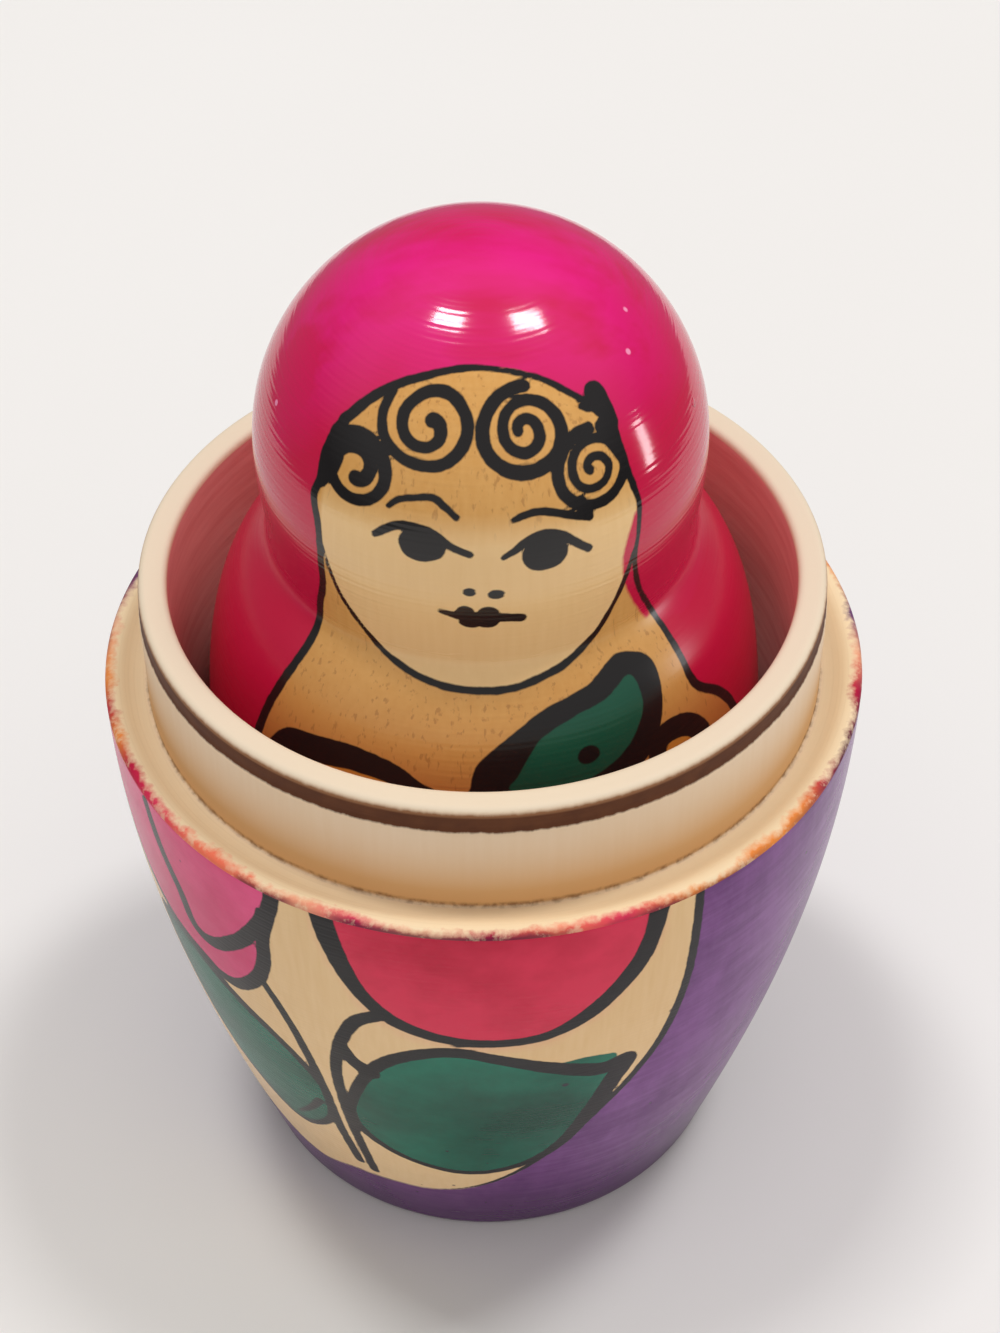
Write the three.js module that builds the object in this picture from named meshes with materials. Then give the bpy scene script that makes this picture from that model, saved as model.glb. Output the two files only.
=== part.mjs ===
// A matryoshka: a set of turned wooden dolls, each hollow one made of two halves that meet at a collar.
// The outer doll stands open, so only its lower half is here, with the second doll standing in it.
// Millimetres, +Z up, origin at the centre of the outer doll's foot, the dolls' faces towards -Y.
import * as THREE from "three";

// The figure that every doll repeats. Each value is a multiple of that doll's own belly radius.
const FIGURE = {
  foot: 0.7, // radius of the flat foot
  seam: 1.67, // height of the seam between the halves
  neck: 0.735, // radius of the neck
  neckRise: 1.02, // seam to neck
  head: 0.76, // radius of the head
  headRise: 0.34, // neck to the head's widest place
  crownRise: 0.755, // from there to the top of the head
};

// The hollow dolls, with the sizes that the turner cuts on each.
// ledge: width of the flat step outside the collar.
// collar, collarHeight: thickness and height of the wall that the upper half slips over.
// floor: thickness under the hollow. play: radial room round the next doll. headRoom: room over its crown.
// edge: rounding of the cut edges. burnWidth: width of the burnt line under the collar's rim.
const OUTER = {
  name: "outer", ledge: 2.8, collar: 3.5, collarHeight: 10.2, floor: 5.2, play: 2.4,
  edge: 0.6, burnWidth: 1.7, sides: 48,
};
const SECOND = {
  name: "second", ledge: 2.1, collar: 2.5, collarHeight: 7.8, floor: 4.0, play: 1.8, headRoom: 2.2,
  edge: 0.45, burnWidth: 1.3, sides: 40,
};
const THIRD = {
  name: "third", ledge: 1.55, collar: 1.85, collarHeight: 5.8, floor: 3.0, play: 1.4, headRoom: 1.7,
  edge: 0.35, burnWidth: 1.0, sides: 28,
};
const FOURTH = {
  name: "fourth", ledge: 1.15, collar: 1.4, collarHeight: 4.3, floor: 2.2, play: 1.0, headRoom: 1.3,
  edge: 0.28, burnWidth: 0.8, sides: 20,
};
const FIFTH = {
  name: "fifth", ledge: 0.85, collar: 1.05, collarHeight: 3.2, floor: 1.6, play: 0.8, headRoom: 1.0,
  edge: 0.2, burnWidth: 0.6, sides: 20,
};

// The innermost doll is turned solid. Every other doll is sized to go round it.
// belly: its radius at the seam, where it is widest.
const SIXTH = { name: "sixth", belly: 6.85, edge: 0.2, sides: 16 };

const DOLLS = [OUTER, SECOND, THIRD, FOURTH, FIFTH, SIXTH]; // from the outside in

const BURN_DEPTH = 0.15; // how far the burnt line is sunk into the collar
const COLLAR_FIT = 0.2; // radial clearance between a collar and the socket that slips over it
const SEAT_GAP = 0.2; // clearance where a half rests on its ledge and a doll on its floor
const CURVE_STEPS = 5; // straight steps along each curved stretch of an outline

// Handles of the cubic curves in the outlines, each a share of the stretch that its curve spans.
const ROUND = 0.5523; // makes a cubic curve run like a quarter of an ellipse
const BARREL = { out: 0.3, low: 0.2, high: 0.6 };
const SHOULDERS = { low: 0.9, high: 0.86 };
const CHEEKS = { low: 0.3, high: 0.6 };
const HOLLOW = { out: 0.35, low: 0.2, high: 0.55 };

// Colours and finishes, from the outside in.
const PURPLE = { color: 0x5a2d82, roughness: 0.45 };
const PINK = { color: 0xd0105f, roughness: 0.2 };
const RED = { color: 0xc01530, roughness: 0.25 };
const PAINT = {
  outer: { lower: PURPLE },
  second: { upper: PINK, lower: RED },
  third: { upper: PURPLE, lower: PINK },
  fourth: { upper: PINK, lower: RED },
  fifth: { upper: PURPLE, lower: PINK },
  sixth: { upper: PINK },
};

// Belly radius of a doll: the innermost has its own, and each other one goes round the next doll's belly.
function bellyOf(index) {
  const doll = DOLLS[index];
  if (doll.belly) return doll.belly;
  return bellyOf(index + 1) + doll.play + doll.collar + doll.ledge;
}

// Sizes of one doll in millimetres, worked out from its belly radius and its own turned sizes.
function measure(index) {
  const belly = bellyOf(index);
  const doll = { ...DOLLS[index], belly };
  for (const [key, share] of Object.entries(FIGURE)) doll[key] = share * belly;
  doll.neckHeight = doll.seam + doll.neckRise;
  doll.headHeight = doll.neckHeight + doll.headRise;
  doll.height = doll.headHeight + doll.crownRise;
  if (doll.collar === undefined) return doll;
  doll.collarRadius = belly - doll.ledge;
  doll.hollow = doll.collarRadius - doll.collar;
  doll.rim = doll.seam + doll.collarHeight;
  return doll;
}

// The outside below the seam: a flat foot with a broken edge, then a barrel that is upright at the seam.
function drawBarrel(path, doll) {
  path.moveTo(0, 0);
  path.lineTo(doll.foot - doll.edge, 0);
  path.lineTo(doll.foot, doll.edge);
  path.bezierCurveTo(
    doll.foot + BARREL.out * (doll.belly - doll.foot), BARREL.low * doll.seam,
    doll.belly, BARREL.high * doll.seam,
    doll.belly, doll.seam - doll.edge,
  );
}

// The outside above the seam: shoulders, a shallow neck and a round head.
function drawShoulders(path, doll) {
  path.bezierCurveTo(
    doll.belly, doll.seam + SHOULDERS.low * doll.neckRise,
    doll.neck, doll.seam + SHOULDERS.high * doll.neckRise,
    doll.neck, doll.neckHeight,
  );
  path.bezierCurveTo(
    doll.neck, doll.neckHeight + CHEEKS.low * doll.headRise,
    doll.head, doll.neckHeight + CHEEKS.high * doll.headRise,
    doll.head, doll.headHeight,
  );
  path.absellipse(0, doll.headHeight, doll.head, doll.crownRise, 0, Math.PI / 2, false, 0);
}

// The collar, from the ledge over the rim to the hollow, with the burnt line sunk below its rim.
function drawCollar(path, doll) {
  const burnTop = doll.rim - doll.edge;
  path.lineTo(doll.belly - doll.edge, doll.seam);
  path.lineTo(doll.collarRadius, doll.seam);
  path.lineTo(doll.collarRadius, burnTop - doll.burnWidth);
  path.lineTo(doll.collarRadius - BURN_DEPTH, burnTop - doll.burnWidth);
  path.lineTo(doll.collarRadius - BURN_DEPTH, burnTop);
  path.lineTo(doll.collarRadius - doll.edge, doll.rim);
  path.lineTo(doll.hollow + doll.edge, doll.rim);
  path.lineTo(doll.hollow, doll.rim - doll.edge);
}

// The lower hollow: straight inside the collar, then drawn in like the next doll's barrel, to a flat floor.
function drawLowerHollow(path, doll, next) {
  const corner = next.foot + doll.play;
  const depth = doll.seam - doll.floor;
  path.lineTo(doll.hollow, doll.seam);
  path.bezierCurveTo(
    doll.hollow, doll.floor + HOLLOW.high * depth,
    corner + HOLLOW.out * (doll.hollow - corner), doll.floor + HOLLOW.low * depth,
    corner, doll.floor + doll.edge,
  );
  path.lineTo(corner - doll.edge, doll.floor);
  path.lineTo(0, doll.floor);
}

// The upper hollow: a dome over the next doll's crown, room for its shoulders, and the collar's socket.
function drawUpperHollow(path, doll, next) {
  const base = doll.floor + SEAT_GAP;
  const dome = next.head + doll.play;
  const domeStart = base + next.headHeight;
  const domeRise = next.crownRise + doll.headRoom;
  const socketTop = doll.rim + SEAT_GAP;
  const middle = (domeStart + socketTop) / 2;
  path.moveTo(0, domeStart + domeRise);
  path.bezierCurveTo(ROUND * dome, domeStart + domeRise, dome, domeStart + ROUND * domeRise, dome, domeStart);
  path.bezierCurveTo(dome, middle, doll.hollow, middle, doll.hollow, socketTop);
  path.lineTo(doll.collarRadius + COLLAR_FIT, socketTop);
  path.lineTo(doll.collarRadius + COLLAR_FIT, doll.seam + SEAT_GAP);
  path.lineTo(doll.belly - doll.edge, doll.seam + SEAT_GAP);
  path.lineTo(doll.belly, doll.seam + SEAT_GAP + doll.edge);
}

// A solid of revolution about +Z from a closed outline of radius and height.
function turn(name, path, doll, finish) {
  const geometry = new THREE.LatheGeometry(path.getPoints(CURVE_STEPS), doll.sides);
  geometry.rotateX(Math.PI / 2);
  const mesh = new THREE.Mesh(geometry, new THREE.MeshStandardMaterial({ metalness: 0, ...finish }));
  mesh.name = name;
  return mesh;
}

function lowerHalf(doll, next, finish) {
  const path = new THREE.Path();
  drawBarrel(path, doll);
  drawCollar(path, doll);
  drawLowerHollow(path, doll, next);
  return turn(`${doll.name}_lower_half`, path, doll, finish);
}

function upperHalf(doll, next, finish) {
  const path = new THREE.Path();
  drawUpperHollow(path, doll, next);
  drawShoulders(path, doll);
  return turn(`${doll.name}_upper_half`, path, doll, finish);
}

function solidDoll(doll, finish) {
  const path = new THREE.Path();
  drawBarrel(path, doll);
  path.lineTo(doll.belly, doll.seam);
  drawShoulders(path, doll);
  return turn(`${doll.name}_doll`, path, doll, finish);
}

// Each hollow doll holds the group of the next one, which stands on its floor.
function nest(index) {
  const doll = measure(index);
  const group = new THREE.Group();
  const paint = PAINT[doll.name];
  if (doll.hollow === undefined) {
    group.add(solidDoll(doll, paint.upper));
    return group;
  }
  const next = measure(index + 1);
  group.add(lowerHalf(doll, next, paint.lower));
  if (paint.upper) group.add(upperHalf(doll, next, paint.upper));
  const inner = nest(index + 1);
  inner.position.z = doll.floor + SEAT_GAP;
  group.add(inner);
  return group;
}

const matryoshka = nest(0);
export default matryoshka;
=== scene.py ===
# %% [markdown]
# # A matryoshka, turned and painted
# A nesting doll is turned wood and paint. The solid model gives each half its place and its joint, and this
# lesson the fine skin that the lathe, the hot wire, the dye and the brush leave. Everything keeps the solid
# model's frame: metres, +Z up, the faces towards -Y.

# %% Load the turned solids
import math
from collections import namedtuple
from functools import partialmethod
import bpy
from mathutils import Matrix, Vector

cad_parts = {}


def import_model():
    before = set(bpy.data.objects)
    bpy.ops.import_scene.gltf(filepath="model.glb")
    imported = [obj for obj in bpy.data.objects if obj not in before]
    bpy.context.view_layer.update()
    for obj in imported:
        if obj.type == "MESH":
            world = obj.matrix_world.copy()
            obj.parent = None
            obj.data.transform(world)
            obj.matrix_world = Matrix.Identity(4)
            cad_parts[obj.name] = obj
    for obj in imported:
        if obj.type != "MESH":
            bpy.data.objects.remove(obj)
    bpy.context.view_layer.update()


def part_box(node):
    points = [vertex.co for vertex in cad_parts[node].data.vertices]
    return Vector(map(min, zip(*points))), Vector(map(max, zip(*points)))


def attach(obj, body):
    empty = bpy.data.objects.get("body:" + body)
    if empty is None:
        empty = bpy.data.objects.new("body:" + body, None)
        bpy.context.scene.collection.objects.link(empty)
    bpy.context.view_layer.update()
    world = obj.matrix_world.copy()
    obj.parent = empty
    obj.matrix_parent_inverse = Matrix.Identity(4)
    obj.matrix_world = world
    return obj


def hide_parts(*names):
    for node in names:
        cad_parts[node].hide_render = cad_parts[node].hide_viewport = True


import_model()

from types import SimpleNamespace

import bpy
import numpy as np
from mathutils import Matrix, Vector

MM = 0.001

# %% [markdown]
# ## The camera
# The picture was taken from the front, looking well down into the open cup. The elevation, the distance and
# the lens were fitted to the ellipses of the ledge and the rim, whose round shape is known.

# %% Set up the camera
LOOK_DOWN = math.radians(44.42)
CAMERA_DISTANCE = 0.2293
CAMERA_TARGET = Vector((0.00142, 0.0, 0.05238))
CAMERA_ROLL = math.radians(-0.41)
SENSOR = 36.0
LENS = 70.2


def placed(name, data):
    """An object that shows the data, linked into the scene."""
    made = bpy.data.objects.new(name, data)
    bpy.context.collection.objects.link(made)
    return made


back = Vector((0.0, -math.cos(LOOK_DOWN), math.sin(LOOK_DOWN)))
camera = placed("camera", bpy.data.cameras.new("camera"))
camera.data.sensor_fit = "VERTICAL"
camera.data.sensor_height = SENSOR
camera.data.lens = LENS
camera.data.clip_start = 0.01
tilt = Matrix.Rotation(math.pi / 2 - LOOK_DOWN, 4, "X") @ Matrix.Rotation(CAMERA_ROLL, 4, "Z")
camera.matrix_world = Matrix.Translation(CAMERA_TARGET + CAMERA_DISTANCE * back) @ tilt
bpy.context.scene.camera = camera
print("camera at", [round(value, 4) for value in camera.matrix_world.translation])

# %% [markdown]
# ## The sizes of each doll
# Every doll repeats one figure, in shares of its belly radius. The belly and the place of the foot are read
# from the solids, and the table holds what the turner cuts, in millimetres. The cuts are those of the solid
# model, apart from the cup's collar, which is 0.9 mm thinner on its outside, over a ledge that dips inwards.

# %% Measure the dolls
FIGURE = {
    "foot": 0.7, "seam": 1.67, "neck": 0.735, "neck_rise": 1.02, "head": 0.76, "head_rise": 0.34,
    "crown_rise": 0.755,
}
CUTS = {
    "outer": dict(ledge=3.7, collar=2.6, dish=0.8, rise=10.2, floor=5.2, play=2.4, edge=0.6, burn=1.7),
    "second": dict(ledge=2.1, collar=2.5, rise=7.8, floor=4.0, play=1.8, room=2.2, edge=0.45, burn=1.3),
    "third": dict(ledge=1.55, collar=1.85, rise=5.8, floor=3.0, play=1.4, room=1.7, edge=0.35, burn=1.0),
    "fourth": dict(ledge=1.15, collar=1.4, rise=4.3, floor=2.2, play=1.0, room=1.3, edge=0.28, burn=0.8),
    "fifth": dict(ledge=0.85, collar=1.05, rise=3.2, floor=1.6, play=0.8, room=1.0, edge=0.2, burn=0.6),
    "sixth": dict(edge=0.2),
}
BURN_DEPTH = 0.15
COLLAR_FIT = 0.2
SEAT_GAP = 0.2


def measure(name):
    """One doll's sizes in millimetres: the cuts, the figure times the belly, and the heights that follow."""
    doll = SimpleNamespace(**{"name": name, "dish": 0.0, **CUTS[name]})
    low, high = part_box("sixth_doll" if name == "sixth" else name + "_lower_half")
    doll.belly = (high[0] - low[0]) / 2 / MM
    doll.base = low[2] / MM
    for part, share in FIGURE.items():
        setattr(doll, part, share * doll.belly)
    doll.neck_height = doll.seam + doll.neck_rise
    doll.head_height = doll.neck_height + doll.head_rise
    if name != "sixth":
        doll.collar_radius = doll.belly - doll.ledge
        doll.hollow = doll.collar_radius - doll.collar
        doll.rim = doll.seam + doll.rise
    return doll


dolls = {name: measure(name) for name in CUTS}
for name, doll in dolls.items():
    print(name, "belly", round(doll.belly, 2), "foot at", round(doll.base, 2))

# %% [markdown]
# ## Outlines
# A turned piece is one outline of radius and height, swept round the axis. The outline is put together from
# stretches: straight cuts, cubic curves and rounded edges. Each stretch says what covers it: paint, bare
# wood, or the inside. The foot is a cut across the grain, so it counts as bare wood. The handles of the
# curves are shares of the stretch that each curve spans, and ROUND makes a curve a quarter of an ellipse.

# %% Draw the outlines
PAINTED, BARE, INSIDE = 0, 1, 2
EDGE_STEPS, SHOULDER_STEPS = 4, 6
WALL, CURVED, FLAT = 2, 3, 6  # how many times longer the steps are where no paint shows
ROUND = 0.5523
FILLET = 0.3
BURN_SLOPE = 0.3
BARREL_OUT, BARREL_LOW, BARREL_HIGH = 0.3, 0.2, 0.6
SHOULDER_LOW, SHOULDER_HIGH = 0.9, 0.86
CHEEK_LOW, CHEEK_HIGH = 0.3, 0.6
HOLLOW_OUT, HOLLOW_LOW, HOLLOW_HIGH = 0.35, 0.2, 0.55
Outline = namedtuple("Outline", "radius height run cover")


def straight(start, end, step):
    """Points along a straight cut, no further apart than step."""
    start, end = np.array(start, float), np.array(end, float)
    count = max(1, math.ceil(np.hypot(*(end - start)) / step))
    return start + (end - start) * np.linspace(0, 1, count + 1)[:, None]


def cubic(start, leave, arrive, end, step, count=None):
    """Points along a cubic curve: the four points weighed by the Bernstein polynomials."""
    corners = np.array([start, leave, arrive, end], float)
    if count is None:
        count = max(2, math.ceil(np.hypot(*np.diff(corners, axis=0).T).sum() / step))
    t = np.linspace(0, 1, count + 1)[:, None]
    return (
        (1 - t) ** 3 * corners[0] + 3 * t * (1 - t) ** 2 * corners[1]
        + 3 * t ** 2 * (1 - t) * corners[2] + t ** 3 * corners[3]
    )


def rounded(start, corner, end, count=EDGE_STEPS):
    """A quarter round from start to end, whose tangents meet at the corner."""
    start, corner, end = (np.array(point, float) for point in (start, corner, end))
    return cubic(start, start + ROUND * (corner - start), end + ROUND * (corner - end), end, 1, count)


def joined(stretches, seam_index, seam):
    """One outline from (cover, points) stretches. The run is the length along it, zero at the seam."""
    points = [stretches[0][1]] + [stretch[1:] for _, stretch in stretches[1:]]
    rows = np.concatenate(points)
    cover = np.concatenate([np.full(len(stretch) - 1, kind) for kind, stretch in stretches])
    run = np.concatenate([[0], np.cumsum(np.hypot(*np.diff(rows, axis=0).T))])
    seam_row = sum(len(stretch) - 1 for _, stretch in stretches[:seam_index])
    return Outline(rows[:, 0], rows[:, 1], run - run[seam_row] + rows[seam_row, 1] - seam, cover)


def barrel(doll, step):
    """The outside below the seam: a flat foot, a broken edge and a barrel that is upright at the seam."""
    foot, belly, seam, edge = doll.foot, doll.belly, doll.seam, doll.edge
    return [
        (BARE, straight((0, 0), (foot - edge, 0), FLAT * step)),
        (PAINTED, rounded((foot - edge, 0), (foot - FILLET * edge, 0), (foot, edge))),
        (PAINTED, cubic(
            (foot, edge), (foot + BARREL_OUT * (belly - foot), BARREL_LOW * seam),
            (belly, BARREL_HIGH * seam), (belly, seam - edge), step,
        )),
    ]


def shoulders(doll, step):
    """The outside above the seam: shoulders, a shallow neck and a round head up to the axis."""
    belly, neck, head, seam = doll.belly, doll.neck, doll.head, doll.seam
    neck_height, head_height = doll.neck_height, doll.head_height
    start = seam + SEAT_GAP + doll.edge
    rise, cheek, crown = doll.neck_rise, doll.head_rise, doll.crown_rise
    top = head_height + crown
    return [
        (PAINTED, cubic(
            (belly, start), (belly, seam + SHOULDER_LOW * rise), (neck, seam + SHOULDER_HIGH * rise),
            (neck, neck_height), step,
        )),
        (PAINTED, cubic(
            (neck, neck_height), (neck, neck_height + CHEEK_LOW * cheek),
            (head, neck_height + CHEEK_HIGH * cheek), (head, head_height), step,
        )),
        (PAINTED, cubic(
            (head, head_height), (head, head_height + ROUND * crown), (ROUND * head, top), (0, top), step,
        )),
    ]


def collar_wall(doll, step):
    """The collar's outside: straight, then sunk by the burn's depth along a smooth step below the rim."""
    radius, top = doll.collar_radius, doll.rim - doll.edge
    fillet = FILLET * doll.edge
    height = straight((0, doll.seam - doll.dish + fillet), (0, top), step)[:, 1]
    share = np.clip((height - (top - doll.burn)) / (BURN_SLOPE * doll.burn) + 0.5, 0, 1)
    return np.column_stack([radius - BURN_DEPTH * share * share * (3 - 2 * share), height])


def lower_outline(doll, following, step):
    """Foot, barrel, ledge, collar, rim and hollow of a lower half, from the axis back to the axis."""
    belly, seam, edge, rim = doll.belly, doll.seam, doll.edge, doll.rim
    radius, hollow, floor = doll.collar_radius, doll.hollow, doll.floor
    sunk = radius - BURN_DEPTH
    fillet = FILLET * edge
    low = seam - doll.dish
    ledge_middle = radius + 0.5 * doll.ledge
    corner = following.foot + doll.play
    depth = seam - floor
    stretches = barrel(doll, step)
    seam_index = len(stretches)
    stretches += [
        (BARE, rounded((belly, seam - edge), (belly, seam), (belly - edge, seam), SHOULDER_STEPS)),
        (BARE, cubic(
            (belly - edge, seam), (ledge_middle, seam), (ledge_middle, low), (radius + fillet, low), step,
        )),
        (BARE, rounded((radius + fillet, low), (radius, low), (radius, low + fillet))),
        (BARE, collar_wall(doll, step)),
        (BARE, rounded((sunk, rim - edge), (sunk, rim), (sunk - edge, rim))),
        (BARE, straight((sunk - edge, rim), (hollow + edge, rim), step)),
        (BARE, rounded((hollow + edge, rim), (hollow, rim), (hollow, rim - edge))),
        (INSIDE, straight((hollow, rim - edge), (hollow, seam), WALL * step)),
        (INSIDE, cubic(
            (hollow, seam), (hollow, floor + HOLLOW_HIGH * depth),
            (corner + HOLLOW_OUT * (hollow - corner), floor + HOLLOW_LOW * depth),
            (corner, floor + edge), CURVED * step,
        )),
        (INSIDE, rounded((corner, floor + edge), (corner - fillet, floor), (corner - edge, floor))),
        (INSIDE, straight((corner - edge, floor), (0, floor), FLAT * step)),
    ]
    return joined(stretches, seam_index, seam)


def upper_outline(doll, following, step):
    """Dome, socket, seat, shoulders and head of an upper half, from the axis back to the axis."""
    belly, edge = doll.belly, doll.edge
    seat = doll.seam + SEAT_GAP
    socket, socket_top = doll.collar_radius + COLLAR_FIT, doll.rim + SEAT_GAP
    dome = following.head + doll.play
    dome_start = doll.floor + SEAT_GAP + following.head_height
    dome_rise = following.crown_rise + doll.room
    top = dome_start + dome_rise
    middle = (dome_start + socket_top) / 2
    hollow = doll.hollow
    stretches = [
        (INSIDE, cubic(
            (0, top), (ROUND * dome, top), (dome, dome_start + ROUND * dome_rise), (dome, dome_start),
            CURVED * step,
        )),
        (INSIDE, cubic(
            (dome, dome_start), (dome, middle), (hollow, middle), (hollow, socket_top), CURVED * step,
        )),
        (INSIDE, straight((hollow, socket_top), (socket, socket_top), WALL * step)),
        (INSIDE, straight((socket, socket_top), (socket, seat), CURVED * step)),
        (BARE, straight((socket, seat), (belly - edge, seat), step)),
        (PAINTED, rounded((belly - edge, seat), (belly, seat), (belly, seat + edge))),
    ]
    return joined(stretches + shoulders(doll, step), len(stretches), doll.seam)


def solid_outline(doll, step):
    """The innermost doll: one outline from foot to crown."""
    belly, seam, edge = doll.belly, doll.seam, doll.edge
    below = barrel(doll, step)
    middle = [(PAINTED, straight((belly, seam - edge), (belly, seam + SEAT_GAP + edge), step))]
    return joined(below + middle + shoulders(doll, step), len(below), seam)


# %% [markdown]
# ## Turning
# The outline is repeated at every angle of a grid. Angles count from the front, to the right in the picture,
# and the columns stand closer together round the middle of the painting, where thin brush lines need them.
# The rows on the axis shrink to one point each, so the two ends are closed by fans.

# %% Turn a piece on the lathe
FRONT_CROWDING = 0.55
POLE_RADIUS = 0.01  # stands for zero where a distance is divided by the radius, in millimetres
Skin = namedtuple("Skin", "turn up radius")


def turns(count, middle):
    """Angles round the axis, crowded about the middle: an even angle less a share of its own sine."""
    even = np.linspace(-math.pi, math.pi, count, endpoint=False)
    return even - FRONT_CROWDING * np.sin(even) + middle


def turned(name, outline, base, angles):
    """A mesh object from an outline and angles, with poles at both ends, faces outwards."""
    radius, height = outline.radius[1:-1], outline.height[1:-1]
    rows, columns = len(radius), len(angles)
    ring = np.stack([
        radius[:, None] * np.sin(angles), -radius[:, None] * np.cos(angles),
        np.broadcast_to(height[:, None] + base, (rows, columns)),
    ], axis=-1).reshape(-1, 3)
    poles = [[0, 0, outline.height[0] + base], [0, 0, outline.height[-1] + base]]
    points = np.concatenate([ring, poles]) * MM
    here = np.arange(columns)
    beside = np.roll(here, -1)
    starts = np.arange(rows - 1)[:, None] * columns
    above = starts + columns
    quads = np.stack([starts + here, starts + beside, above + beside, above + here], -1).reshape(-1, 4)
    last = (rows - 1) * columns
    first_fan = np.stack([np.full(columns, rows * columns), beside, here], -1)
    last_fan = np.stack([last + here, last + beside, np.full(columns, rows * columns + 1)], -1)
    loops = np.concatenate([quads.ravel(), first_fan.ravel(), last_fan.ravel()])
    sizes = np.concatenate([np.full(len(quads), 4), np.full(2 * columns, 3)])
    covers = np.concatenate([
        np.repeat(outline.cover[1:-1], columns), np.full(columns, outline.cover[0]),
        np.full(columns, outline.cover[-1]),
    ])
    mesh = bpy.data.meshes.new(name)
    mesh.vertices.add(len(points))
    mesh.vertices.foreach_set("co", points.ravel())
    mesh.loops.add(len(loops))
    mesh.loops.foreach_set("vertex_index", loops)
    mesh.polygons.add(len(sizes))
    mesh.polygons.foreach_set("loop_start", np.concatenate([[0], np.cumsum(sizes)[:-1]]))
    mesh.polygons.foreach_set("loop_total", sizes)
    mesh.polygons.foreach_set("use_smooth", np.ones(len(sizes), bool))
    mesh.polygons.foreach_set("material_index", covers)
    mesh.update(calc_edges=True)
    mesh.validate()
    return placed(name, mesh)


def skin_of(outline, angles):
    """The angle, the run along the outline and the radius of every point of a turned piece, poles last."""
    rows, columns = len(outline.radius) - 2, len(angles)
    wrapped = (np.tile(angles, rows) + math.pi) % (2 * math.pi) - math.pi
    run, radius = (
        np.concatenate([np.repeat(row[1:-1], columns), row[[0, -1]]])
        for row in (outline.run, outline.radius)
    )
    return Skin(np.concatenate([wrapped, [0, 0]]), run, np.maximum(radius, POLE_RADIUS))


def record(piece, **layers):
    """Keeps each layer, a number or a colour for each point, as an attribute for the piece's material."""
    for layer, values in layers.items():
        values = np.asarray(values, np.float32)
        kind, key = ("FLOAT", "value") if values.ndim == 1 else ("FLOAT_COLOR", "color")
        piece.data.attributes.new(layer, kind, "POINT").data.foreach_set(key, values.ravel())


# %% [markdown]
# ## The brush
# A brush line is a smooth curve through points, with a width that swells and thins. Every point of a skin
# learns how many millimetres it lies outside the nearest line or shape, so the shader can draw an edge that
# is finer than the grid. A point is an angle from the front in degrees and a height up the skin in
# millimetres, and distances are measured along the skin.

# %% Brush tools
FAR = 9.0
REACH = 2.5
TINY = 1e-9
LINE_STEPS, CURL_POINTS, OVAL_POINTS = 6, 40, 24


def drawn(points, width=1.0, closed=False, steps=LINE_STEPS):
    """A smooth path of (angle, height, half width): a Catmull-Rom curve through the points."""
    points = np.array(points, float)
    along = np.linspace(0, 1, len(points))
    widths = np.interp(along, np.linspace(0, 1, np.size(width)), np.atleast_1d(width))
    knots = np.column_stack([np.radians(points[:, 0]), points[:, 1], widths / 2])
    if closed:
        knots = np.vstack([knots[-1], knots, knots[0], knots[1]])
    else:
        knots = np.vstack([2 * knots[0] - knots[1], knots, 2 * knots[-1] - knots[-2]])
    a, b, c, d = knots[:-3, None], knots[1:-2, None], knots[2:-1, None], knots[3:, None]
    t = np.linspace(0, 1, steps, endpoint=False)[None, :, None]
    curve = b + 0.5 * t * (c - a + t * (2 * a - 5 * b + 4 * c - d + t * (3 * (b - c) + d - a)))
    return np.vstack([curve.reshape(-1, 3), knots[-2]])


def curl(centre, girth, radii, sweep, width):
    """A spiral brush line: the angle sweeps evenly while the radius passes through the given radii."""
    share = np.linspace(0, 1, CURL_POINTS)
    turn = np.radians(sweep[0] + (sweep[1] - sweep[0]) * share)
    radius = np.interp(share, np.linspace(0, 1, len(radii)), radii)
    across = centre[0] + np.degrees(radius * np.cos(turn) / girth)
    return drawn(np.column_stack([across, centre[1] + radius * np.sin(turn)]), width, steps=2)


def near(skin, path):
    """Which points of the skin lie within reach of a path."""
    low, high = path[:, :2].min(axis=0), path[:, :2].max(axis=0)
    reach = REACH + path[:, 2].max()
    beside = reach / skin.radius
    return np.flatnonzero(
        (skin.up > low[1] - reach) & (skin.up < high[1] + reach)
        & (skin.turn > low[0] - beside) & (skin.turn < high[0] + beside)
    )


def stroke(skin, path):
    """Millimetres from each point to the path, less half the brush's width there."""
    distance = np.full(len(skin.turn), FAR)
    chosen = near(skin, path)
    radius = skin.radius[chosen, None]
    start, end = path[:-1], path[1:]
    across = (skin.turn[chosen, None] - start[:, 0]) * radius
    along = skin.up[chosen, None] - start[:, 1]
    step_across, step_along = (end[:, 0] - start[:, 0]) * radius, end[:, 1] - start[:, 1]
    length = step_across ** 2 + step_along ** 2 + TINY
    share = np.clip((across * step_across + along * step_along) / length, 0, 1)
    gap = np.hypot(across - share * step_across, along - share * step_along)
    distance[chosen] = (gap - start[:, 2] - share * (end[:, 2] - start[:, 2])).min(axis=1)
    return distance


def shape(skin, path):
    """Signed millimetres to a closed path, less than zero inside: inside is an odd count of crossings."""
    thin = np.column_stack([path[:, :2], np.zeros(len(path))])
    loop = np.vstack([thin, thin[0]])
    distance = stroke(skin, loop)
    (start_turn, start_up), (end_turn, end_up) = loop[:-1, :2].T, loop[1:, :2].T
    inside = np.zeros(len(skin.turn), bool)
    for turn_a, up_a, turn_b, up_b in zip(start_turn, start_up, end_turn, end_up):
        if up_a == up_b:
            continue
        crosses = (up_a > skin.up) != (up_b > skin.up)
        inside ^= crosses & (skin.turn < turn_a + (turn_b - turn_a) * (skin.up - up_a) / (up_b - up_a))
    return np.where(inside, -distance, distance)


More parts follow.
